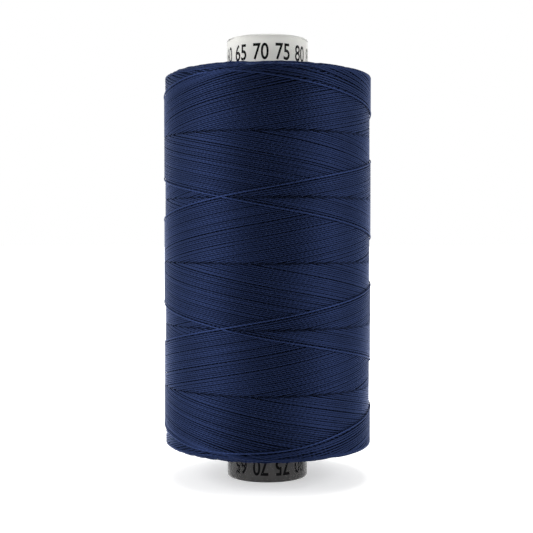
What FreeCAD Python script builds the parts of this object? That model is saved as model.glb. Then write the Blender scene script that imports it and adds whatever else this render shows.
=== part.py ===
import FreeCAD
import Part
import itertools
import math
import os
from collections import namedtuple

# Spool of sewing thread, cross-wound on a straight plastic tube.
# The origin is the centre of the tube's foot and +Z runs up the tube. Azimuths are measured from +X
# towards +Y, in degrees, and the front of the object faces -Y. Lengths are in millimetres.

# Spool tube
tube_diameter = 12.7
tube_wall = 1.2
rim_round = 0.3

# Wound thread, from the lowest turn of the package to the highest
package_diameter = 32.0
package_length = 58.5
bare_foot = 4.6
bare_top = 5.3
shoulder_width = 2.05
shoulder_height = 1.4
tube_to_thread_gap = 0.05

# Card labels, one rolled into each end of the tube
label_height = 12.0
label_thickness = 0.25
label_setback = 0.4
label_slit = 0.5
label_clearance = 0.02

# Outer turns: the last strokes of the winding, up and down the package
thread_diameter = 0.25
thread_facets = 8
core_to_turn_gap = 0.03
crossing_gap = 0.42
double_strokes = 4
quarter_turns_per_stroke = 11
reversal_angle = 45.0
reversal_margin = 2.3
first_reversal_azimuth = 90.0
thread_end_bend = 0.4
thread_end_pocket_clearance = 0.05

# Sizes that follow from the ones above
tube_length = bare_foot + package_length + bare_top
bore_radius = tube_diameter / 2 - tube_wall
label_outer_radius = bore_radius + label_thickness
label_seat_radius = label_outer_radius + label_clearance
label_seat_depth = label_setback + label_height + label_clearance
package_bottom = bare_foot
package_top = bare_foot + package_length
up_stroke_radius = package_diameter / 2 - 1.5 * thread_diameter - crossing_gap
down_stroke_radius = package_diameter / 2 - thread_diameter / 2
core_radius = up_stroke_radius - thread_diameter / 2 - core_to_turn_gap
core_bore_radius = tube_diameter / 2 + tube_to_thread_gap
stroke_angle = 90.0 * quarter_turns_per_stroke
traverse = package_length - 2 * reversal_margin
pitch = traverse / ((stroke_angle + reversal_angle / 2) / 360)
reversal_rise = pitch * reversal_angle / 360 / 4
lowest_station = package_bottom + reversal_margin + reversal_rise
highest_station = package_top - reversal_margin - reversal_rise
pocket_floor_radius = up_stroke_radius - thread_end_bend - thread_diameter
pocket_radius = (thread_end_bend + thread_diameter) / 2 + thread_end_pocket_clearance
least_allowed_gap = 0.4

# A station is a point that the outer turns pass through, with their direction and azimuth there.
Station = namedtuple("Station", "point direction azimuth")


def vector_at(azimuth, radius, height):
    """The point at this azimuth, distance from the axis and height."""
    angle = math.radians(azimuth)
    return FreeCAD.Vector(radius * math.cos(angle), radius * math.sin(angle), height)


def outward(azimuth):
    """The unit vector that points away from the axis at this azimuth."""
    return vector_at(azimuth, 1.0, 0.0)


def ring(inner_radius, outer_radius, bottom, top):
    """A plain round ring about the Z axis."""
    base = FreeCAD.Vector(0, 0, bottom)
    outer = Part.makeCylinder(outer_radius, top - bottom, base)
    inner = Part.makeCylinder(inner_radius, top - bottom, base)
    return outer.cut(inner)


def spool_tube():
    """Straight tube with rounded rims and a shallow seat for a label in each end of its bore."""
    tube = ring(bore_radius, tube_diameter / 2, 0.0, tube_length)
    rims = [
        edge for edge in tube.Edges
        if edge.Curve.TypeId == "Part::GeomCircle" and abs(edge.Curve.Radius - tube_diameter / 2) < 1e-6
    ]
    tube = tube.makeFillet(rim_round, rims)
    low_seat = Part.makeCylinder(label_seat_radius, label_seat_depth)
    high_seat = Part.makeCylinder(
        label_seat_radius, label_seat_depth, FreeCAD.Vector(0, 0, tube_length - label_seat_depth))
    return tube.cut(low_seat).cut(high_seat)


def rolled_label(bottom):
    """A strip of card rolled into a ring, flush with the bore, with its two ends apart at the back."""
    label = ring(bore_radius, label_outer_radius, bottom, bottom + label_height)
    slit = Part.makeBox(
        label_slit, 2 * label_outer_radius, label_height, FreeCAD.Vector(-label_slit / 2, 0.0, bottom))
    return label.cut(slit)


def shoulder(height, rise):
    """Quarter ellipse from the side of the core at this height to the flat of its end."""
    side = FreeCAD.Vector(core_radius, 0, height)
    corner = side + FreeCAD.Vector(0, 0, rise)
    end = corner - FreeCAD.Vector(shoulder_width, 0, 0)
    curve = Part.BezierCurve()
    curve.setPoles([side, corner, end])
    curve.setWeight(2, math.sqrt(0.5))
    return curve.toShape()


def core_profile():
    """Half section of the core in the XZ plane."""
    low_side = package_bottom + shoulder_height
    high_side = package_top - shoulder_height
    flat_radius = core_radius - shoulder_width
    corners = [
        FreeCAD.Vector(flat_radius, 0, package_top),
        FreeCAD.Vector(core_bore_radius, 0, package_top),
        FreeCAD.Vector(core_bore_radius, 0, package_bottom),
        FreeCAD.Vector(flat_radius, 0, package_bottom),
    ]
    edges = [Part.makeLine(first, second) for first, second in zip(corners, corners[1:])]
    edges.append(shoulder(low_side, -shoulder_height))
    edges.append(Part.makeLine(
        FreeCAD.Vector(core_radius, 0, low_side), FreeCAD.Vector(core_radius, 0, high_side)))
    edges.append(shoulder(high_side, shoulder_height))
    return Part.Face(Part.Wire(Part.__sortEdges__(edges)))


def biarc(start, start_direction, end, end_direction):
    """Two arcs that leave start and reach end in the given directions and meet in one tangent."""
    chord = end - start
    both = start_direction + end_direction
    bend = 2 * (1 - start_direction.dot(end_direction))
    along = chord.dot(both)
    reach = (math.sqrt(along * along + bend * chord.dot(chord)) - along) / bend
    first_corner = start + start_direction * reach
    second_corner = end - end_direction * reach
    middle = (first_corner + second_corner) * 0.5
    return [arc_by_corner(start, first_corner, middle), arc_by_corner(middle, second_corner, end)]


def arc_by_corner(start, corner, end):
    """The arc from start to end whose end tangents meet at corner."""
    chord_middle = (start + end) * 0.5
    cosine = (chord_middle - start).Length / (corner - start).Length
    crown = chord_middle + (corner - chord_middle) * (cosine / (1 + cosine))
    return Part.Arc(start, crown, end)


def stroke_direction(azimuth, radius, going_up):
    """Unit tangent of a stroke, which winds towards larger azimuths and climbs or falls by the pitch."""
    around = vector_at(azimuth + 90, 2 * math.pi * radius, 0.0)
    climb = pitch if going_up else -pitch
    return (around + FreeCAD.Vector(0, 0, climb)).normalize()


def stroke_stations(first_azimuth, going_up):
    """A station at each quarter turn of one stroke, which goes up close to the core or down above it."""
    radius = up_stroke_radius if going_up else down_stroke_radius
    start = lowest_station if going_up else highest_station
    climb = pitch / 4 if going_up else -pitch / 4
    stations = []
    for quarter in range(quarter_turns_per_stroke + 1):
        azimuth = first_azimuth + 90.0 * quarter
        point = vector_at(azimuth, radius, start + climb * quarter)
        stations.append(Station(point, stroke_direction(azimuth, radius, going_up), azimuth))
    return stations


def turn_stations():
    """All stations of the outer turns in winding order. The steps between strokes are the reversals."""
    stations = []
    azimuth = first_reversal_azimuth + reversal_angle / 2
    for stroke in range(2 * double_strokes):
        stations += stroke_stations(azimuth, going_up=stroke % 2 == 0)
        azimuth += stroke_angle + reversal_angle
    return stations


def tucked_end(station, onward):
    """Where an end of the thread turns towards the axis and where it stands, past its last station."""
    up = outward(station.azimuth)
    foot = station.point + onward * thread_end_bend - up * thread_end_bend
    floor = foot - up * (foot.dot(up) - pocket_floor_radius)
    return foot, floor


def outer_turns_path(stations):
    """Edges of the thread's middle line, from its first tucked end to its last."""
    first, last = stations[0], stations[-1]
    foot, floor = tucked_end(first, first.direction * -1)
    corner = foot + outward(first.azimuth) * thread_end_bend
    curves = [Part.LineSegment(floor, foot), arc_by_corner(foot, corner, first.point)]
    for start, end in zip(stations, stations[1:]):
        curves += biarc(start.point, start.direction, end.point, end.direction)
    foot, floor = tucked_end(last, last.direction)
    corner = foot + outward(last.azimuth) * thread_end_bend
    curves += [arc_by_corner(last.point, corner, foot), Part.LineSegment(foot, floor)]
    return [curve.toShape() for curve in curves]


def outer_turns(edges):
    """One unbroken thread of many flat sides, swept along the whole path."""
    start = edges[0].valueAt(edges[0].FirstParameter)
    direction = edges[0].tangentAt(edges[0].FirstParameter)
    rim = Part.Circle(start, direction, thread_diameter / 2)
    corners = [rim.value(2 * math.pi * corner / thread_facets) for corner in range(thread_facets)]
    section = Part.makePolygon(corners + corners[:1])
    shell = Part.BRepOffsetAPI.MakePipeShell(Part.Wire(edges))
    shell.add(section)
    shell.build()
    shell.makeSolid()
    return shell.shape()


def end_pockets(stations):
    """Round pockets in the core that the two ends of the outer turns are tucked into."""
    first, last = stations[0], stations[-1]
    pockets = []
    for station, onward in ((first, first.direction * -1), (last, last.direction)):
        floor = tucked_end(station, onward)[1]
        middle = floor - onward * (thread_end_bend / 2)
        pockets.append(Part.makeCylinder(pocket_radius, core_radius, middle, outward(station.azimuth)))
    return pockets


def wound_thread(stations):
    """The older layers as a plain core with rounded shoulders, bored for the tube."""
    axis_point = FreeCAD.Vector(0, 0, 0)
    core = core_profile().revolve(axis_point, FreeCAD.Vector(0, 0, 1), 360)
    for pocket in end_pockets(stations):
        core = core.cut(pocket)
    return core


def points_along(edges, step):
    """Points on the middle line, about a step apart, each with its distance from the start."""
    points = []
    travelled = 0.0
    for edge in edges:
        count = max(1, round(edge.Length / step))
        for index in range(count):
            passed = edge.Length * index / count
            points.append((edge.valueAt(edge.getParameterByLength(passed)), travelled + passed))
        travelled += edge.Length
    return points


def least_gap(points):
    """Least gap of the thread to itself, from points of its middle line sorted into cubes of space."""
    cube = 8 * thread_diameter
    apart = 3 * cube
    least = cube
    cubes = {}
    for point, travelled in points:
        home = tuple(math.floor(length / cube) for length in point)
        for step in itertools.product((-1, 0, 1), repeat=3):
            beside = tuple(place + shift for place, shift in zip(home, step))
            for other, passed in cubes.get(beside, ()):
                if travelled - passed > apart:
                    least = min(least, (point - other).Length)
        cubes.setdefault(home, []).append((point, travelled))
    return least - thread_diameter


def report_turns(edges, solid):
    """Print what is measured of the outer turns: length, least gap, distance from the axis, volume."""
    length = sum(edge.Length for edge in edges)
    turns = (2 * double_strokes * (stroke_angle + reversal_angle) - reversal_angle) / 360
    section = thread_facets * math.sin(2 * math.pi / thread_facets) * thread_diameter ** 2 / 8
    gap = least_gap(points_along(edges, thread_diameter))
    wound = points_along(edges[2:-2], thread_diameter)
    radii = [math.hypot(point.x, point.y) for point, travelled in wound]
    print("outer turns: %.2f turns, %.1f mm of thread, pitch %.2f mm" % (turns, length, pitch))
    print("least gap to itself %.3f mm, over %.1f: %s" % (gap, least_allowed_gap, gap > least_allowed_gap))
    print("middle line %.3f to %.3f mm from the axis, core %.3f mm" % (min(radii), max(radii), core_radius))
    print("volume %.3f mm3, section times length %.3f mm3" % (solid.Volume, section * length))


def build():
    """Make every piece and write it under its own name."""
    stations = turn_stations()
    path = outer_turns_path(stations)
    turns = outer_turns(path)
    report_turns(path, turns)
    pieces = {
        "spool_tube": spool_tube(),
        "top_label": rolled_label(tube_length - label_setback - label_height),
        "bottom_label": rolled_label(label_setback),
        "wound_thread": wound_thread(stations),
        "outer_turns": turns,
    }
    os.makedirs("parts", exist_ok=True)
    for name, shape in pieces.items():
        shape.exportStep("parts/" + name + ".step")
        print("%-14s %d solid, %.2f mm3, valid %s" % (name, len(shape.Solids), shape.Volume, shape.isValid()))


build()
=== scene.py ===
import bpy
import bmesh
import math
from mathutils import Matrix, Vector


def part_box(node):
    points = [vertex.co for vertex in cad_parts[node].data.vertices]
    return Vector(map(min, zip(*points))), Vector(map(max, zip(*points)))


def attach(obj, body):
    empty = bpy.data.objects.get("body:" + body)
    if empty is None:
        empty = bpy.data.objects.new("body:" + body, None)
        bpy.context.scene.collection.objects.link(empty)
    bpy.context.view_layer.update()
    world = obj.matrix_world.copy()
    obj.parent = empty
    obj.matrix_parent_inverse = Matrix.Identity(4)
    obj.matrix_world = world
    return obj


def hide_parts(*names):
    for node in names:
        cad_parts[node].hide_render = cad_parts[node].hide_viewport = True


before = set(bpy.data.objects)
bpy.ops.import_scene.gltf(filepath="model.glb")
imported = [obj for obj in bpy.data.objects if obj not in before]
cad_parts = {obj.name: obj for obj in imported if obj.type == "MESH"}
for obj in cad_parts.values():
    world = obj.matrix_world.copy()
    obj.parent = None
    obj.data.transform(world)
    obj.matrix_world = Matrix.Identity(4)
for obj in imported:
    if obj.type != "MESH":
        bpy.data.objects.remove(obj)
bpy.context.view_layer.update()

mm = 0.001

# Camera. It stands 175 mm from the spool's axis, a little above its middle, and looks slightly down,
# with a lens of about 75 mm on a 36 mm sensor.
camera_distance = 175.0 * mm
camera_height = 38.17 * mm
camera_offset = -0.14 * mm
camera_pitch = 0.0298
camera = bpy.data.objects.new("camera", bpy.data.cameras.new("camera"))
camera.data.sensor_width = 36.0
camera.data.lens = 74.92
camera.data.clip_start = 10 * mm
camera.data.clip_end = 20.0
camera.location = (camera_offset, -camera_distance, camera_height)
camera.rotation_euler = (math.pi / 2 - camera_pitch, 0, 0)
bpy.context.scene.collection.objects.link(camera)
bpy.context.scene.camera = camera
bpy.context.scene.view_settings.view_transform = "Standard"

# Spool tube. The real one is a straight length of clear plastic, moulded or extruded and cut square,
# with its rims rounded over. The CAD shape stays, and gets a polished, slightly milky clear plastic.


class Value:
    """A socket that a node gives out. Sums written with it become Math nodes."""

    def __init__(self, tree, socket):
        self.tree = tree
        self.socket = socket

    def math(self, operation, *others):
        sockets = {place: value for place, value in enumerate((self,) + others)}
        return self.tree.node("ShaderNodeMath", {"operation": operation}, sockets)

    def turned(self, operation, other):
        return self.tree.node("ShaderNodeMath", {"operation": operation}, {0: other, 1: self})

    def __add__(self, other):
        return self.math("ADD", other)

    def __radd__(self, other):
        return self.math("ADD", other)

    def __sub__(self, other):
        return self.math("SUBTRACT", other)

    def __rsub__(self, other):
        return self.turned("SUBTRACT", other)

    def __mul__(self, other):
        return self.math("MULTIPLY", other)

    def __rmul__(self, other):
        return self.math("MULTIPLY", other)

    def __truediv__(self, other):
        return self.math("DIVIDE", other)

    def __rtruediv__(self, other):
        return self.turned("DIVIDE", other)

    def __neg__(self):
        return self.math("MULTIPLY", -1.0)

    def __pow__(self, other):
        return self.math("POWER", other)

    def __gt__(self, other):
        return self.math("GREATER_THAN", other)

    def __lt__(self, other):
        return self.math("LESS_THAN", other)


class Tree:
    """A node tree, with one method that adds any node and four for what comes up often."""

    def __init__(self, node_tree):
        self.nodes = node_tree.nodes
        self.links = node_tree.links
        self.node_tree = node_tree

    def node(self, kind, settings=None, sockets=None, output=0):
        """Add a node with its settings, then its sockets' values or links. Gives its output."""
        node = self.nodes.new(kind)
        for name, value in (settings or {}).items():
            setattr(node, name, value)
        for name, value in (sockets or {}).items():
            self.fill(node.inputs[name], value)
        return Value(self, node.outputs[output]) if len(node.outputs) else node

    def fill(self, socket, value):
        """Link a value into the socket, or write a plain number or vector there."""
        if isinstance(value, Value):
            self.links.new(value.socket, socket)
        else:
            socket.default_value = value

    def parts(self, vector):
        """The three numbers of a vector."""
        first = self.node("ShaderNodeSeparateXYZ", {}, {0: vector})
        return [Value(self, output) for output in first.socket.node.outputs]

    def scaled(self, vector, factor):
        """A vector or a colour times a number."""
        return self.node("ShaderNodeVectorMath", {"operation": "SCALE"}, {0: vector, "Scale": factor})

    def noise(self, place, scale, detail=2.0, roughness=0.5):
        """Cloudy noise from zero to one, with about this many clouds to a metre."""
        sockets = {"Vector": place, "Scale": scale, "Detail": detail, "Roughness": roughness}
        return self.node("ShaderNodeTexNoise", {}, sockets, output="Fac")

    def between(self, factor, first, second):
        """The first colour where the factor is zero, the second where it is one, and a mix between."""
        sockets = {0: factor, 6: first + (1,), 7: second + (1,)}
        return self.node("ShaderNodeMix", {"data_type": "RGBA"}, sockets, output=2)


def material_with_surface(name):
    """A new material with an empty Principled surface, as its node tree and the surface's sockets."""
    material = bpy.data.materials.new(name)
    material.use_nodes = True
    tree = Tree(material.node_tree)
    return material, tree, material.node_tree.nodes["Principled BSDF"].inputs


def clear_plastic():
    """Clear moulded plastic. It bends light, so the card inside seems to fill the tube's whole width.

    It bends and mirrors light less than real plastic. With usual values a grey veil lay over the dark card.
    """
    material, tree, surface = material_with_surface("clear_plastic")
    place = tree.node("ShaderNodeTexCoord", output="Object")
    haze = tree.noise(place, scale=700.0)
    tree.fill(surface["Roughness"], 0.1 + 0.08 * haze)
    surface["Base Color"].default_value = (0.9, 0.9, 0.885, 1)
    surface["Transmission Weight"].default_value = 1.0
    surface["IOR"].default_value = 1.2
    surface["Specular Tint"].default_value = (0.05, 0.05, 0.05, 1)
    return material


def dress(node, material):
    """Give a CAD node its material."""
    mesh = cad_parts[node].data
    mesh.materials.clear()
    mesh.materials.append(material)


tube_low, tube_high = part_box("spool_tube")
dress("spool_tube", clear_plastic())

# Labels. Two strips of thin card, each rolled into a ring inside one end of the clear tube, where its own
# spring holds it. The upper one is off-white. The lower one is dark grey, painted shade for a pale label in
# the shade under the package. Here they reach a hair into the wall, so that no layer of air shows.


def card(name, pale, dark, roughness):
    """Card with the faint mottle of pressed fibres."""
    material, tree, surface = material_with_surface(name)
    place = tree.node("ShaderNodeTexCoord", output="Object")
    fibres = tree.noise(place, scale=2600.0, detail=4.0, roughness=0.6)
    tree.fill(surface["Base Color"], tree.between(fibres, dark, pale))
    tree.fill(surface["Roughness"], roughness + 0.1 * fibres)
    surface["Specular IOR Level"].default_value = 0.05
    bump = tree.node("ShaderNodeBump", {}, {"Strength": 0.15, "Distance": 0.01 * mm, "Height": fibres})
    tree.fill(surface["Normal"], bump)
    return material


label_thickness = 0.25 * mm
label_clearance = 0.02 * mm
wall_overlap = 0.01 * mm
label_slit = 0.5 * mm
label_segments = 96
bare_top_rim = 0.12 * mm
bare_foot_rim = 0.05 * mm


def rolled_card(low, high, outer_radius, inner_radius):
    """A strip of card rolled into a ring, with its slit at the back, as a mesh."""
    half_slit = label_slit / 2 / outer_radius
    first, last = math.pi / 2 + half_slit, 2.5 * math.pi - half_slit
    vertices, faces = [], []
    for place in range(label_segments + 1):
        angle = first + (last - first) * place / label_segments
        for radius, height in (
                (outer_radius, low), (outer_radius, high), (inner_radius, high), (inner_radius, low)):
            vertices.append((radius * math.cos(angle), radius * math.sin(angle), height))
    for place in range(label_segments):
        here, there = 4 * place, 4 * place + 4
        for corner in range(4):
            following = (corner + 1) % 4
            faces.append((here + corner, there + corner, there + following, here + following))
    end = 4 * label_segments
    faces += [(0, 1, 2, 3), (end + 3, end + 2, end + 1, end)]
    mesh = bpy.data.meshes.new("rolled_card")
    mesh.from_pydata(vertices, [], faces)
    return mesh


def add_piece(name, mesh):
    """Put a finished mesh in the scene under this name."""
    piece = bpy.data.objects.new(name, mesh)
    bpy.context.scene.collection.objects.link(piece)
    return piece


white_card = card("white_card", pale=(0.69, 0.685, 0.665), dark=(0.64, 0.635, 0.615), roughness=0.55)
# The lower card's dark grey is painted shade: a pale label shaded by the package over it.
grey_card = card("grey_card", pale=(0.072, 0.070, 0.071), dark=(0.060, 0.058, 0.059), roughness=0.6)
top_low, top_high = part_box("top_label")
bottom_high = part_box("bottom_label")[1]
label_radius = top_high.x + label_clearance + wall_overlap
for node, slot, finish, foot, head in (
        ("top_label", "white_card", white_card, top_low.z, tube_high.z - bare_top_rim),
        ("bottom_label", "grey_card", grey_card, tube_low.z + bare_foot_rim, bottom_high.z)):
    label_mesh = rolled_card(foot, head, label_radius, top_high.x - label_thickness)
    label_mesh.materials.append(finish)
    label = add_piece(node + "_in_the_wall", label_mesh)
    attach(label, "root")
    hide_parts(node)

# Print on the labels. Thin black ink on the outside of the card, the right way up at the top and upside
# down at the bottom. Here it is a plain row of numbers in steps of five.
print_height = 2.45 * mm
print_narrowing = 0.72
ink_thickness = 0.004 * mm
ink_spread = 0.016
curve_steps = 4
bend_step = 0.12 * mm
joining_distance = 0.0005 * mm
first_number = 50
number_step = 5
printed_numbers = 9
places_round_the_label = 10
place_at_the_front = 4.3
top_print_margin = 1.25 * mm
bottom_print_margin = 0.9 * mm


def flat_number(text):
    """A number as a thin flat solid, upright in X and Y, centred on X and as tall as the print."""
    curve = bpy.data.curves.new("number", "FONT")
    curve.body = text
    curve.align_x = "CENTER"
    curve.extrude = ink_thickness / 2
    curve.offset = ink_spread
    curve.resolution_u = curve_steps
    holder = bpy.data.objects.new("number", curve)
    bpy.context.scene.collection.objects.link(holder)
    bpy.context.view_layer.update()
    seen = holder.evaluated_get(bpy.context.evaluated_depsgraph_get())
    mesh = bpy.data.meshes.new_from_object(seen)
    bpy.data.objects.remove(holder)
    tallest = max(vertex.co.y for vertex in mesh.vertices)
    for vertex in mesh.vertices:
        vertex.co.x *= print_height / tallest * print_narrowing
        vertex.co.y *= print_height / tallest
    return mesh


def wrapped_print(name, radius, rim, from_rim, upside_down):
    """The row of numbers wrapped round a label, read from outside. It leaves the slit bare."""
    whole = bmesh.new()
    for place in range(printed_numbers):
        flat = bmesh.new()
        flat.from_mesh(flat_number(str(first_number + number_step * place)))
        widest = max(vertex.co.x for vertex in flat.verts)
        cuts = int(widest / bend_step)
        for cut in range(-cuts, cuts + 1):
            everything = flat.verts[:] + flat.edges[:] + flat.faces[:]
            bmesh.ops.bisect_plane(
                flat, geom=everything, plane_co=(cut * bend_step, 0, 0), plane_no=(1, 0, 0))
        centre = 2 * math.pi * (place - place_at_the_front) / places_round_the_label - math.pi / 2
        for vertex in flat.verts:
            across, up = vertex.co.x, vertex.co.y - print_height - from_rim
            outward = radius + ink_thickness / 2 + vertex.co.z
            if upside_down:
                across, up = -across, -up
            angle = centre + across / radius
            vertex.co = (outward * math.cos(angle), outward * math.sin(angle), rim + up)
        bent = bpy.data.meshes.new("bent_number")
        flat.to_mesh(bent)
        whole.from_mesh(bent)
        flat.free()
        bpy.data.meshes.remove(bent)
    bmesh.ops.remove_doubles(whole, verts=whole.verts[:], dist=joining_distance)
    bmesh.ops.recalc_face_normals(whole, faces=whole.faces[:])
    mesh = bpy.data.meshes.new(name)
    whole.to_mesh(mesh)
    whole.free()
    return mesh


def black_ink():
    """Dull black printing ink."""
    material, tree, surface = material_with_surface("black_ink")
    place = tree.node("ShaderNodeTexCoord", output="Object")
    mottle = tree.noise(place, scale=3000.0)
    tree.fill(surface["Base Color"], tree.between(mottle, (0.003, 0.003, 0.004), (0.007, 0.007, 0.008)))
    surface["Roughness"].default_value = 0.8
    surface["Specular IOR Level"].default_value = 0.05
    return material


ink = black_ink()
for name, rim, margin, upside_down in (
        ("top_print", tube_high.z, top_print_margin, False),
        ("bottom_print", tube_low.z, bottom_print_margin, True)):
    print_mesh = wrapped_print(name, label_radius, rim, margin, upside_down)
    print_mesh.materials.clear()
    print_mesh.materials.append(ink)
    piece = add_piece(name, print_mesh)
    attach(piece, "root")

# Packed layers. The older thread under the last strokes, wound on the tube in many layers. It fills the
# space between the tube and the outer strands, and shows only in the slits between them.
thread_low, thread_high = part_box("wound_thread")
turns_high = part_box("outer_turns")[1]
outside_the_turns = 0.36 * mm
under_the_core = 0.3 * mm
over_the_core = 0.4 * mm
package_radius = turns_high.x + outside_the_turns
package_bottom = thread_low.z - under_the_core
package_top = thread_high.z + over_the_core
package_middle = (package_top + package_bottom) / 2
tube_radius = tube_high.x
shoulder_width = 3.0 * mm
shoulder_height = 1.4 * mm
shoulder_length = math.pi / 2 * math.sqrt((shoulder_width ** 2 + shoulder_height ** 2) / 2)
thread_width = 0.285 * mm
thread_thickness = 0.18 * mm
layer_height = 0.18 * mm
packed_depth = 0.55 * mm
packed_end_depth = 0.62 * mm
shoulder_steps = 12
package_segments = 256
ply_spacing_in_mm = 0.67
navy_colour = (0.0074, 0.0126, 0.0370)
pitch = 19.2 * mm
strands_per_cover = 67


def navy_thread():
    """Twisted cotton: three plies that wind round the strand, soft fibres and a satin sheen.

    The attribute ply holds the cosine and sine of the angle round the strand, and the length along it
    in millimetres. The attribute shade differs at random from strand to strand, and also carries painted
    shade and painted highlights that the strands and turns put into it.
    """
    material, tree, surface = material_with_surface("navy_thread")
    ply = tree.node("ShaderNodeAttribute", {"attribute_name": "ply"}, output="Vector")
    cosine, sine, along = tree.parts(ply)
    around = sine.math("ARCTAN2", cosine)
    shade = tree.node("ShaderNodeAttribute", {"attribute_name": "shade"}, output="Fac")
    twist = (3.0 * around + (2 * math.pi / ply_spacing_in_mm) * along).math("COSINE")
    place = tree.node("ShaderNodeTexCoord", output="Object")
    fibre = tree.noise(place, scale=9000.0, detail=3.0, roughness=0.7)
    blotch = tree.noise(place, scale=260.0)
    # The shade attribute brings painted shade and painted highlights into this colour.
    light = 0.72 + 0.22 * shade + 0.09 * twist + 0.12 * fibre + 0.12 * blotch
    tree.fill(surface["Base Color"], tree.scaled(navy_colour, light))
    relief = twist * 0.6 + fibre * 0.2
    bump = tree.node("ShaderNodeBump", {}, {"Strength": 0.42, "Distance": 0.03 * mm, "Height": relief})
    tree.fill(surface["Normal"], bump)
    tree.fill(surface["Roughness"], 0.33 + 0.1 * fibre)
    surface["Metallic"].default_value = 0.88
    surface["Specular IOR Level"].default_value = 0.2
    surface["Specular Tint"].default_value = (0.55, 0.61, 0.83, 1)
    surface["Sheen Weight"].default_value = 0.08
    surface["Sheen Roughness"].default_value = 0.3
    surface["Sheen Tint"].default_value = (0.35, 0.47, 0.9, 1)
    return material


def packed_thread():
    """The next layers down: close lines that cross the strands over them, darkened in colour as painted
    shade.
    """
    material, tree, surface = material_with_surface("packed_thread")
    place = tree.node("ShaderNodeTexCoord", output="Object")
    across, back, height = tree.parts(place)
    radius = (across * across + back * back).math("SQRT")
    turn = back.math("ARCTAN2", across) * (1 / (2 * math.pi))
    reach = (height - package_middle).math("ABSOLUTE") - radius
    line = ((reach * (1 / pitch) - turn) * (2 * math.pi * strands_per_cover)).math("COSINE")
    fibre = tree.noise(place, scale=5000.0, detail=3.0)
    # Painted shade: the navy is darkened to about a third, for the shade under the outer strands.
    light = 0.3 + 0.16 * line + 0.1 * fibre
    tree.fill(surface["Base Color"], tree.scaled(navy_colour, light))
    relief = line * 0.5 + fibre * 0.2
    bump = tree.node("ShaderNodeBump", {}, {"Strength": 0.8, "Distance": 0.07 * mm, "Height": relief})
    tree.fill(surface["Normal"], bump)
    surface["Roughness"].default_value = 0.45
    surface["Metallic"].default_value = 0.88
    surface["Specular IOR Level"].default_value = 0.1
    surface["Specular Tint"].default_value = (0.6, 0.72, 1.0, 1)
    return material


def package_outline(depth, end_depth):
    """Radius and height of points down the package's half section, this far under its surface."""
    points = [(tube_radius, package_top - end_depth)]
    for step in range(shoulder_steps + 1):
        angle = math.pi / 2 * step / shoulder_steps
        radius = package_radius - shoulder_width + (shoulder_width - depth) * math.sin(angle)
        height = package_top - shoulder_height + (shoulder_height - end_depth) * math.cos(angle)
        points.append((radius, height))
    return points + [(radius, 2 * package_middle - height) for radius, height in reversed(points)]


def turned_mesh(name, outline, segments):
    """A closed solid turned round the Z axis from a half section that starts and ends at the tube."""
    count = len(outline)
    vertices = []
    for segment in range(segments):
        angle = 2 * math.pi * segment / segments
        vertices += [(r * math.cos(angle), r * math.sin(angle), z) for r, z in outline]
    faces = []
    for segment in range(segments):
        here, there = segment * count, (segment + 1) % segments * count
        for place in range(count):
            following = (place + 1) % count
            faces.append((here + place, here + following, there + following, there + place))
    mesh = bpy.data.meshes.new(name)
    mesh.from_pydata(vertices, [], faces)
    mesh.polygons.foreach_set("use_smooth", [True] * len(faces))
    return mesh


thread_finish = navy_thread()
packed_outline = package_outline(packed_depth, packed_end_depth)
packed_mesh = turned_mesh("packed_layers", packed_outline, package_segments)
packed_mesh.materials.append(packed_thread())
packed_layers = add_piece("packed_layers", packed_mesh)
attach(packed_layers, "root")
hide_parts("wound_thread")

# Last strokes. The thread is guided up and down while the spool turns, so it lies in strands that rise
# and strands that fall, each laid beside the one before. Each strand shows where it was laid last, and
# dives under the other family where that is newer. The newest strand of each family stands proud.
# Where a strand dives its colour is darkened as painted shade, and the newest strand is painted lighter.
front_azimuth = -90.0
newest_azimuth = front_azimuth - 22.0
newest_height = 43.5 * mm
lower_halves = 4
upper_halves = 2
stroke_sides = 8
stroke_seed = 11
package_sizes = {
    "Radius": package_radius, "Package bottom": package_bottom, "Package top": package_top,
    "Shoulder width": shoulder_width, "Shoulder height": shoulder_height,
    "Shoulder length": shoulder_length, "Thread width": thread_width,
    "Thread thickness": thread_thickness,
}


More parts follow.
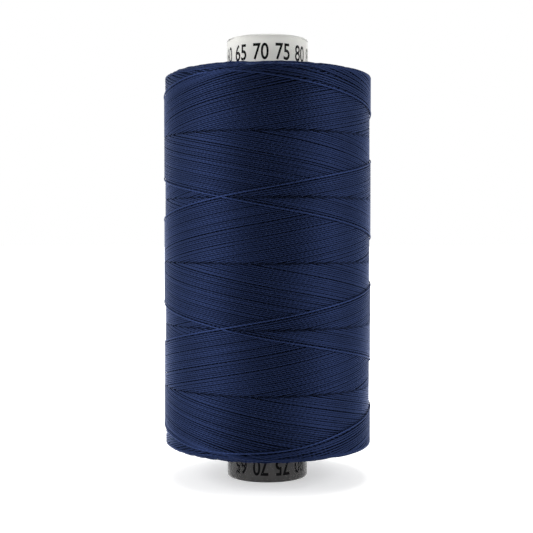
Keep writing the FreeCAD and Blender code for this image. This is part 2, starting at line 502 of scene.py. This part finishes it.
class GeometryTree(Tree):
    """A Geometry Nodes tree with named inputs, that gives plain meshes."""

    def __init__(self, name, numbers):
        super().__init__(bpy.data.node_groups.new(name, "GeometryNodeTree"))
        self.identifiers = {}
        self.values = numbers
        for label, value in numbers.items():
            kind = "NodeSocketInt" if isinstance(value, int) else "NodeSocketFloat"
            socket = self.node_tree.interface.new_socket(label, in_out="INPUT", socket_type=kind)
            self.identifiers[label] = socket.identifier
        self.node_tree.interface.new_socket("Geometry", in_out="OUTPUT", socket_type="NodeSocketGeometry")
        entry = self.nodes.new("NodeGroupInput")
        self.number = {label: Value(self, entry.outputs[label]) for label in numbers}

    def attribute(self, geometry, name, value, kind="FLOAT"):
        """The geometry with a value stored on its points under this name."""
        settings = {"data_type": kind, "domain": "POINT"}
        sockets = {"Geometry": geometry, "Name": name, "Value": value}
        return self.node("GeometryNodeStoreNamedAttribute", settings, sockets)

    def stored(self, name, kind="FLOAT"):
        """The value stored on the points under this name."""
        return self.node("GeometryNodeInputNamedAttribute", {"data_type": kind}, {"Name": name})

    def finish(self, geometry, material):
        """End the tree in Realize Instances and Set Material."""
        plain = self.node("GeometryNodeRealizeInstances", {}, {0: geometry})
        coated = self.node("GeometryNodeSetMaterial", {}, {"Geometry": plain, "Material": material})
        self.node("NodeGroupOutput", {}, {0: coated})

    def plain_mesh(self, name, changes=None):
        """What the tree makes with its own numbers and these changes, as a plain mesh."""
        carrier = bpy.data.objects.new(name, bpy.data.meshes.new(name + "_carrier"))
        bpy.context.scene.collection.objects.link(carrier)
        modifier = carrier.modifiers.new(name, "NODES")
        modifier.node_group = self.node_tree
        for label, value in {**self.values, **(changes or {})}.items():
            modifier[self.identifiers[label]] = value
        seen = carrier.evaluated_get(bpy.context.evaluated_depsgraph_get())
        mesh = bpy.data.meshes.new_from_object(seen)
        mesh.name = name
        bpy.data.objects.remove(carrier)
        return mesh


def add_strands(name, mesh):
    """Put a mesh of strands in the scene as a piece of the thread."""
    piece = add_piece(name, mesh)
    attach(piece, "root")
    return piece


def numbered_points(tree, name, count):
    """This many points, and the number of each, which is stored under this name."""
    points = tree.node("GeometryNodePoints", {}, {"Count": count})
    points = tree.attribute(points, name, tree.node("GeometryNodeInputIndex"))
    return points, tree.stored(name)


def whole_times(value, count):
    """How many whole times the count goes into the value, both of them whole numbers."""
    against_rounding = 0.001
    return (value / count + against_rounding).math("FLOOR")


def without(tree, points, unwanted):
    """The points that are left once the unwanted ones are taken away."""
    sockets = {"Geometry": points, "Selection": unwanted}
    return tree.node("GeometryNodeDeleteGeometry", {"domain": "POINT"}, sockets)


def straight_lines(tree, points, steps):
    """A line on each point, with this many places along it. They are bent into strands later."""
    line = tree.node("GeometryNodeCurvePrimitiveLine", {}, {"End": (0.0, 0.0, 1.0)})
    lines = tree.node("GeometryNodeInstanceOnPoints", {}, {"Points": points, "Instance": line})
    lines = tree.node("GeometryNodeRealizeInstances", {}, {0: lines})
    return tree.node("GeometryNodeResampleCurve", {"mode": "COUNT"}, {"Curve": lines, "Count": steps})


def strand_mesh(tree, path, sides, slimming, shade, lean):
    """Sweep a strand's section along curves, its thickness outwards, with its ply and shade attributes.

    The lean is the angle by which the surface under the strand faces up instead of out.
    """
    number = tree.number
    level = tree.node("GeometryNodeSetCurveNormal", {"mode": "Z_UP"}, {"Curve": path})
    level = tree.node("GeometryNodeSetCurveTilt", {}, {"Curve": level, "Tilt": lean})
    level = tree.node("GeometryNodeSetCurveRadius", {}, {"Curve": level, "Radius": slimming})
    length = tree.node("GeometryNodeSplineParameter", output="Length")
    level = tree.attribute(level, "along", length * (1 / mm))
    level = tree.attribute(level, "shade", shade)
    section = tree.node(
        "GeometryNodeCurvePrimitiveCircle", {"mode": "RADIUS"}, {"Resolution": sides, "Radius": 1.0})
    position = tree.node("GeometryNodeInputPosition")
    section = tree.attribute(section, "ply", position, "FLOAT_VECTOR")
    scale = tree.node("ShaderNodeCombineXYZ", {}, {
        0: number["Thread thickness"] * 0.5, 1: number["Thread width"] * 0.5, 2: 1.0})
    section = tree.node("GeometryNodeTransform", {}, {"Geometry": section, "Scale": scale})
    mesh = tree.node(
        "GeometryNodeCurveToMesh", {}, {"Curve": level, "Profile Curve": section, "Fill Caps": True})
    cosine, sine, _ = tree.parts(tree.stored("ply", "FLOAT_VECTOR"))
    joined = tree.node("ShaderNodeCombineXYZ", {}, {0: cosine, 1: sine, 2: tree.stored("along")})
    mesh = tree.attribute(mesh, "ply", joined, "FLOAT_VECTOR")
    return tree.node("GeometryNodeSetShadeSmooth", {}, {0: mesh})


def spread(tree, low, high, identity, seed):
    """A random number for each identity, the same on every run."""
    settings = {"data_type": "FLOAT"}
    sockets = {2: low, 3: high, "ID": identity, "Seed": seed}
    return tree.node("FunctionNodeRandomValue", settings, sockets, output=1)


def smooth_rise(value, low, high):
    """Zero up to low, one from high on, and smooth between."""
    sockets = {"Value": value, 1: low, 2: high, 3: 0.0, 4: 1.0}
    return value.tree.node("ShaderNodeMapRange", {"interpolation_type": "SMOOTHSTEP"}, sockets)


def bell(value, width):
    """One where the value is zero, falling to nothing on both sides."""
    return (-(value / width) ** 2.0).math("EXPONENT")


def on_package(tree, azimuth, reach, depth):
    """The point this far round in degrees, this far up the package's outline and this deep under it.

    The outline runs from the middle of the straight side over the oval shoulder and in along the end
    face. A negative reach runs down. The lean of the surface comes with the point.
    """
    number = tree.number
    half = (number["Package top"] - number["Package bottom"]) / 2 - number["Shoulder height"]
    distance = reach.math("ABSOLUTE")
    side = reach.math("SIGN")
    beyond = (distance - half).math("MAXIMUM", 0.0)
    bend = (beyond / number["Shoulder length"]).math("MINIMUM", 1.0) * (math.pi / 2)
    inward = (beyond - number["Shoulder length"]).math("MAXIMUM", 0.0)
    across, up = bend.math("COSINE"), bend.math("SINE")
    lean_out = across * number["Shoulder height"]
    lean_up = up * number["Shoulder width"]
    share = depth / (lean_out * lean_out + lean_up * lean_up).math("SQRT")
    radius = number["Radius"] - number["Shoulder width"] * (1.0 - across) - inward - lean_out * share
    rise = distance.math("MINIMUM", half) + number["Shoulder height"] * up - lean_up * share
    height = (number["Package top"] + number["Package bottom"]) / 2 + side * rise
    angle = azimuth * (math.pi / 180)
    point = tree.node("ShaderNodeCombineXYZ", {}, {
        0: radius * angle.math("COSINE"), 1: radius * angle.math("SINE"), 2: height})
    return point, lean_up.math("ARCTAN2", lean_out) * side


def stroke_tree(rising):
    """The visible stretches of all rising or all falling strands, as a Geometry Nodes tree.

    A place on a strand is told in degrees, counted twice, that the spool has turned since the strand
    crossed the newest strand of the other family. So 360 of them are half a turn.
    """
    side = 1.0 if rising else -1.0
    half_turn = 360.0
    first_of_all = -lower_halves if rising else -upper_halves
    tree = GeometryTree("rising_strands" if rising else "falling_strands", {
        **package_sizes, "Pitch": pitch, "Strands": strands_per_cover, "First stretch": first_of_all,
        "Stretches": 1, "Layer height": layer_height, "Newest azimuth": newest_azimuth,
        "Newest height": newest_height, "Seed": stroke_seed,
        "Unevenness": 0.12, "Wide gaps": 0.08, "Wide gap": 0.3, "Newest lead": 0.55,
        "Margin": 3.0, "Last overlap": 80.0, "Tuck": 36.0, "Tuck width": 150.0,
        "Short tail": 45.0, "Short tail tuck": 200.0, "Short tail rise": 280.0,
        "Place spacing": 0.85 * mm, "Least places": 8.0, "Place bias": 1.2,
        "Top softness": 40.0, "Bottom softness": 50.0, "Oldest softness": 14.0,
        "Tip raise": 1.7 * mm, "Tip unevenness": 0.1, "Tip reach": 45.0, "Fanned strands": 9.0,
        "Newest bottom raise": 0.15 * mm, "Newest reach": 120.0, "Newest bottom lag": 0.4 * mm,
        "Lag place": 90.0, "Lag width": 42.0, "Lagging strands": 3.0,
        "Wave rate": 0.012, "Least stray": 0.5, "Stray at ends": 2.5, "Stray width": 70.0,
        "Bedding": 0.06 * mm, "Layers dived": 1.15, "Dive at turns": 0.5, "Turn width": 14.0,
        "Seam rise": 0.6, "Seam slimming": 0.5, "Slim width": 0.8,
        "Seam shade": 3.2, "Shade width": 0.42,
        "Newest rise": 0.06 * mm, "Newest size": 1.35 if rising else 1.2,
        "Newest shine": 2.2 if rising else 1.5, "Newest end dive": 0.6 * mm, "End dive width": 9.0,
    })
    number = tree.number
    step = 360.0 / number["Strands"]
    points, stretch = numbered_points(tree, "stretch", number["Strands"] * number["Stretches"])
    strand = whole_times(stretch, number["Stretches"])
    half = stretch - strand * number["Stretches"] + number["First stretch"]
    newest = strand < 0.5

    def phase(which, own):
        """How far behind the newest this strand of its own or the other family lies, in degrees."""
        seed = number["Seed"] + (0 if own == rising else 500)
        even = spread(tree, -1.0, 1.0, which, seed)
        wide = spread(tree, 0.0, 1.0, which, seed + 1) < number["Wide gaps"]
        is_first = (which < 0.5) * (which > -0.5)
        strands_behind = which + number["Unevenness"] * even + number["Wide gap"] * wide
        return step * (strands_behind - number["Newest lead"] * is_first)

    own_phase = phase(strand, True)
    start_partner = strand if rising else strand + 1.0
    end_partner = strand - 1.0 if rising else strand
    halves = lower_halves + upper_halves + first_of_all
    first_turn = half_turn * first_of_all + phase(start_partner, False)
    last_turn = half_turn * halves + phase(end_partner, False)
    seam = own_phase - 0.5 * side * step
    far_away = 1000.0
    block = half_turn * half
    beyond_last = half > halves - 0.5
    short_tail = (last_turn < half_turn * halves + number["Short tail"]) * (half > halves - 1.5)
    low = (block + seam - number["Margin"]).math("MAXIMUM", first_turn)
    last_low = (block - number["Margin"]).math("MAXIMUM", last_turn - number["Last overlap"])
    low = low * (1.0 - beyond_last) + last_low * beyond_last
    # A last stretch that would be short is left out, and the one before it runs on in its place.
    low = low + far_away * beyond_last * short_tail
    tucked = number["Tuck"] * bell(block + half_turn - first_turn, number["Tuck width"]) \
        + number["Short tail tuck"] * short_tail
    high = (block + half_turn + number["Margin"] + tucked).math("MINIMUM", last_turn)
    points = without(tree, points, (high - low) < 1.0)
    length = (high - low) * (math.pi / half_turn) * number["Radius"]
    lines = straight_lines(tree, points, length / number["Place spacing"] + number["Least places"])
    factor = tree.node("GeometryNodeSplineParameter", output="Factor")
    place = low + (high - low) * factor ** number["Place bias"]
    from_start = place - first_turn
    to_end = last_turn - place

    def turn_back(index, distance, newest_softness, newest_raise):
        """The rounding of a turn at this distance from its tip, and how much further out it reaches.

        The last few strokes were each a little shorter than the one before, so the older a turn is,
        the further out and the more pointed it is.
        """
        share = 1.0 - (-index.math("MAXIMUM", 0.0) / number["Fanned strands"]).math("EXPONENT")
        softness = newest_softness * (1.0 - share) + number["Oldest softness"] * share
        soft_distance = (distance * distance + softness * softness).math("SQRT")
        own = number["Tip unevenness"] * spread(tree, -1.0, 1.0, index, number["Seed"] + 40) * (index > 0.5)
        reach_of_turn = number["Newest reach"] * (1.0 - share) + number["Tip reach"] * share
        fading = ((softness - soft_distance) / reach_of_turn).math("EXPONENT")
        tip_raise = number["Tip raise"] * (share + own) + newest_raise * (1.0 - share)
        return soft_distance, tip_raise * fading

    lag = number["Newest bottom lag"] * bell(from_start - number["Lag place"], number["Lag width"]) \
        * (-strand / number["Lagging strands"]).math("EXPONENT")
    top_turn = (number["Top softness"], 0.0)
    bottom_turn = (number["Bottom softness"], number["Newest bottom raise"])
    soft_start, raise_start = turn_back(strand, from_start, *(bottom_turn if rising else top_turn))
    soft_end, raise_end = turn_back(
        strand - 1.0 if rising else strand, to_end, *(top_turn if rising else bottom_turn))
    near_end = bell(from_start, number["Stray width"]) + bell(to_end, number["Stray width"])
    strands_apart = 7.31
    families_apart = 100.0
    wave_place = tree.node("ShaderNodeCombineXYZ", {}, {
        0: place * number["Wave rate"], 1: strand * strands_apart + families_apart * side, 2: 0.0})
    wave_sockets = {"Vector": wave_place, "Scale": 1.0, "Detail": 1.0}
    wave = tree.node("ShaderNodeTexNoise", {"noise_dimensions": "2D"}, wave_sockets, output="Fac") - 0.5
    stray = wave * step * (number["Least stray"] + number["Stray at ends"] * near_end)
    middle = (number["Package top"] + number["Package bottom"]) / 2
    travelled = place - own_phase + (soft_start - from_start) - (soft_end - to_end) + stray
    reach = number["Newest height"] - middle + side * (raise_end - raise_start) - (lag if rising else 0.0) \
        + side * number["Pitch"] / (2 * half_turn) * travelled
    azimuth = number["Newest azimuth"] + (place + own_phase) * 0.5
    since_block = place - block
    from_seam = since_block - seam
    seam_rise = number["Seam rise"] * step
    risen = smooth_rise(from_seam, -seam_rise, seam_rise)
    near_turn = bell(from_start, number["Turn width"]) + bell(to_end, number["Turn width"])
    near_turn = near_turn.math("MINIMUM", 1.0)
    buried = (1.0 - risen) * (1.0 - near_turn) + number["Dive at turns"] * near_turn
    age = (own_phase + since_block) * (1 / half_turn) \
        - short_tail * smooth_rise(since_block, number["Short tail rise"], half_turn)
    depth = 0.5 * number["Thread thickness"] + number["Bedding"] - number["Newest rise"] * newest \
        + number["Layer height"] * (age + buried * number["Layers dived"])
    if rising:
        depth = depth + number["Newest end dive"] * newest * bell(to_end, number["End dive width"])
    point, lean = on_package(tree, azimuth, reach, depth)
    paths = tree.node("GeometryNodeSetPosition", {}, {"Geometry": lines, "Position": point})
    slimming = 1.0 + (number["Newest size"] - 1.0) * newest \
        - number["Seam slimming"] * bell(from_seam, number["Slim width"] * step) * (1.0 - newest)
    # Painted light: the colour darkens where a strand dives at the seam, as painted shade, and the newest
    # strand is lightened, as a painted highlight, over a random tone per strand.
    shade = spread(tree, 0.0, 1.0, strand, number["Seed"] + 2) + number["Newest shine"] * newest \
        - number["Seam shade"] * bell(from_seam, number["Shade width"] * step) * (1.0 - newest)
    tree.finish(strand_mesh(tree, paths, stroke_sides, slimming, shade, lean), thread_finish)
    return tree


rising_tree = stroke_tree(True)
falling_tree = stroke_tree(False)
for name, tree, first_stretch, stretches in (
        ("rising_strands_low", rising_tree, -lower_halves, 3),
        ("rising_strands_high", rising_tree, -1, 4),
        ("falling_strands_high", falling_tree, -upper_halves, 3),
        ("falling_strands_low", falling_tree, 1, 4)):
    mesh = tree.plain_mesh(name, {"First stretch": first_stretch, "Stretches": stretches})
    piece = add_strands(name, mesh)
    if name == "rising_strands_low":
        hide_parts("outer_turns")

# Shoulder and end turns. At each end of its stroke the thread turns back in a flat arc. Each older
# layer's stroke was a little longer, so its arcs peep out beyond the next layer's, from the round
# shoulder to the end face and in to the tube. They lie looser than the strands on the side.
turn_sides = 6
turn_places = 14
shoulder_layers = 14
end_layers = 26
layer_twist = 137.5


def end_turn_tree(top):
    """The tips in which the older layers turn back, as a Geometry Nodes tree."""
    side = 1.0 if top else -1.0
    tree = GeometryTree("top_turns" if top else "bottom_turns", {
        **package_sizes, "Tips": strands_per_cover, "First layer": 0, "Layers": shoulder_layers,
        "Seed": 31 if top else 37,
        "Layer step": 0.24 * mm, "First reach": 1.0 * mm, "Outer depth": 0.70 * mm,
        "Depth lost": 0.3 * mm, "Lost over": 4.0 * mm, "Tilt": 0.06 * mm,
        "Slope": 0.075 * mm, "Uneven slope": 0.25, "Tip softness": 6.0, "Dive": 0.9,
        "Looseness": 0.14 * mm, "Shallowest": -0.8, "Uneven place": 0.3,
        "Start": 15.0, "Length": 34.0, "Longer": 6.0,
        "Painted light": 1.2, "Shadow": 3.2, "Shadowed layers": 4.0,
    })
    number = tree.number
    points, tip = numbered_points(tree, "tip", number["Tips"] * number["Layers"])
    layer = whole_times(tip, number["Tips"])
    place_in_layer = tip - layer * number["Tips"]
    layer = layer + number["First layer"]
    seed = number["Seed"]
    own_depth = spread(tree, number["Shallowest"], 1.0, tip, seed)
    own_reach = spread(tree, -1.0, 1.0, tip, seed + 1)
    own_length = spread(tree, 0.0, 1.0, tip, seed + 2)
    own_slope = spread(tree, -1.0, 1.0, tip, seed + 3)
    own_place = spread(tree, -1.0, 1.0, tip, seed + 4)
    straight = (number["Package top"] - number["Package bottom"]) / 2 - number["Shoulder height"]
    beyond = number["First reach"] + number["Layer step"] * layer
    face = (beyond - number["Shoulder length"]).math("MAXIMUM", 0.0)
    bend = (beyond / number["Shoulder length"]).math("MINIMUM", 1.0) * (math.pi / 2)
    fill = 1.0 - (face + number["Shoulder width"] * (1.0 - bend.math("COSINE"))) / number["Radius"]
    points = without(tree, points, place_in_layer > fill * number["Tips"])
    lines = straight_lines(tree, points, turn_places)
    factor = tree.node("GeometryNodeSplineParameter", output="Factor")
    turn = (factor * (number["Length"] + number["Longer"] * own_length) - number["Start"]) / fill
    softness = number["Tip softness"] / fill
    drop = number["Slope"] * (1.0 + number["Uneven slope"] * own_slope) * fill * (
        (turn * turn + softness * softness).math("SQRT") - softness)
    over = (turn / number["Tip softness"]).math("TANH")
    lost = number["Depth lost"] * (beyond / number["Lost over"]).math("MINIMUM", 1.0)
    depth = number["Outer depth"] - lost + number["Dive"] * drop + number["Looseness"] * own_depth \
        - number["Tilt"] * over
    reach = straight + beyond - drop + number["Looseness"] * own_reach
    azimuth = 360.0 / (number["Tips"] * fill) * (place_in_layer + number["Uneven place"] * own_place) \
        + layer_twist * layer + turn
    point, lean = on_package(tree, azimuth, side * reach, depth)
    paths = tree.node("GeometryNodeSetPosition", {}, {"Geometry": lines, "Position": point})
    # Painted light and shade: every turn's colour is lightened, and the outer layers are darkened as
    # painted shade, over a random tone per tip.
    in_shadow = (-layer / number["Shadowed layers"]).math("EXPONENT")
    shade = spread(tree, 0.0, 1.0, tip, seed + 5) + number["Painted light"] - number["Shadow"] * in_shadow
    tree.finish(strand_mesh(tree, paths, turn_sides, 1.0, shade, lean), thread_finish)
    return tree


for end, top in (("top", True), ("bottom", False)):
    tree = end_turn_tree(top)
    add_strands(end + "_shoulder_turns", tree.plain_mesh(end + "_shoulder_turns"))
    further_in = {"First layer": shoulder_layers, "Layers": end_layers}
    add_strands(end + "_end_turns", tree.plain_mesh(end + "_end_turns", further_in))

# Stage. A wide pale floor, four soft lamps at the sides and one above, and a white surround. A curved
# black card behind the camera keeps the middle of the spool dark in its sheen. The camera doesn't see it.
floor_reach = 3.0
floor_drop = 0.02 * mm
shadow_radius = 0.06
white_radius = 0.22
floor_glow = 0.45
surround_light = 0.6
card_distance = 0.6
card_spread = 48.0
card_turn = 11.0
card_foot = 0.001
card_top = 3.0
card_near_edge = 0.24
card_steps = 24


def seen_background(tree):
    """One for the rays that should find a white background, and zero for those that only carry light."""
    camera, gloss, glass = (
        tree.node("ShaderNodeLightPath", output=kind)
        for kind in ("Is Camera Ray", "Is Glossy Ray", "Is Transmission Ray"))
    return camera.math("MAXIMUM", gloss).math("MAXIMUM", glass)


def stage_floor():
    """A wide pale floor under the spool's foot. Past the spool's shadow it is as white as the surround."""
    mesh = bpy.data.meshes.new("floor")
    corners = ((-1, -1), (1, -1), (1, 1), (-1, 1))
    vertices = [(x * floor_reach, y * floor_reach, -floor_drop) for x, y in corners]
    mesh.from_pydata(vertices, [], [(0, 1, 2, 3)])
    material, tree, surface = material_with_surface("floor")
    surface["Base Color"].default_value = (0.8, 0.8, 0.8, 1)
    surface["Roughness"].default_value = 0.6
    seen = seen_background(tree)
    gloss = tree.node("ShaderNodeLightPath", output="Is Glossy Ray")
    place = tree.node("ShaderNodeTexCoord", output="Object")
    distance = tree.node("ShaderNodeVectorMath", {"operation": "LENGTH"}, {0: place}, output=1)
    far = tree.node(
        "ShaderNodeMapRange", {"interpolation_type": "SMOOTHSTEP"},
        {"Value": distance, 1: shadow_radius, 2: white_radius, 3: 0.0, 4: 1.0})
    glow = (floor_glow + (1.0 - floor_glow) * far.math("MAXIMUM", gloss)) * seen
    tree.fill(surface["Emission Color"], tree.scaled((1.0, 1.0, 1.0), glow))
    surface["Emission Strength"].default_value = 1.0
    mesh.materials.append(material)
    floor = add_piece("floor", mesh)


def lamp(name, place, target, width, height, power):
    """A soft white rectangular lamp aimed at a point."""
    light = bpy.data.lights.new(name, "AREA")
    light.shape = "RECTANGLE"
    light.size = width
    light.size_y = height
    light.energy = power
    holder = bpy.data.objects.new(name, light)
    holder.location = place
    holder.rotation_euler = (Vector(place) - Vector(target)).to_track_quat("Z", "Y").to_euler()
    bpy.context.scene.collection.objects.link(holder)


def black_card():
    """The curved black card: an upright sheet, and a flat one from its foot towards the spool."""
    upright = ((card_distance, card_foot), (card_distance, card_top))
    flat = ((card_near_edge, card_foot), (card_distance, card_foot))
    vertices, faces = [], []
    for sheet in (upright, flat):
        for step in range(card_steps + 1):
            angle = math.radians(-90 + card_turn + card_spread * (2 * step / card_steps - 1))
            for radius, height in sheet:
                vertices.append((radius * math.cos(angle), radius * math.sin(angle), height))
        first = len(vertices) - 2 * (card_steps + 1)
        for base in range(first, first + 2 * card_steps, 2):
            faces.append((base, base + 2, base + 3, base + 1))
    mesh = bpy.data.meshes.new("black_card")
    mesh.from_pydata(vertices, [], faces)
    material, _, surface = material_with_surface("black_card")
    surface["Base Color"].default_value = (0.02, 0.02, 0.02, 1)
    surface["Specular IOR Level"].default_value = 0.0
    surface["Roughness"].default_value = 1.0
    mesh.materials.append(material)
    panel = add_piece("black_card", mesh)
    panel.visible_camera = False


def white_surround():
    """White to the camera, in reflections and through the clear tube, and a weaker grey as light."""
    world = bpy.data.worlds.new("surround")
    bpy.context.scene.world = world
    world.use_nodes = True
    tree = Tree(world.node_tree)
    seen = seen_background(tree)
    strength = surround_light * (1.0 - seen) + seen
    background = world.node_tree.nodes["Background"]
    background.inputs["Color"].default_value = (1, 1, 1, 1)
    tree.fill(background.inputs["Strength"], strength)


stage_floor()
black_card()
white_surround()
spool_middle = (0, 0, 34 * mm)
for name, place, width, height, power in (
        ("left_lamp", (-0.50, -0.04, 0.20), 0.38, 0.50, 1.2),
        ("left_front_lamp", (-0.44, -0.24, 0.20), 0.38, 0.50, 2.2),
        ("right_lamp", (0.50, 0.0, 0.20), 0.38, 0.50, 0.5),
        ("right_front_lamp", (0.44, -0.24, 0.20), 0.38, 0.50, 2.1),
        ("top_lamp", (0, 0.12, 0.60), 0.30, 0.30, 2.0)):
    lamp(name, place, spool_middle, width, height, power)
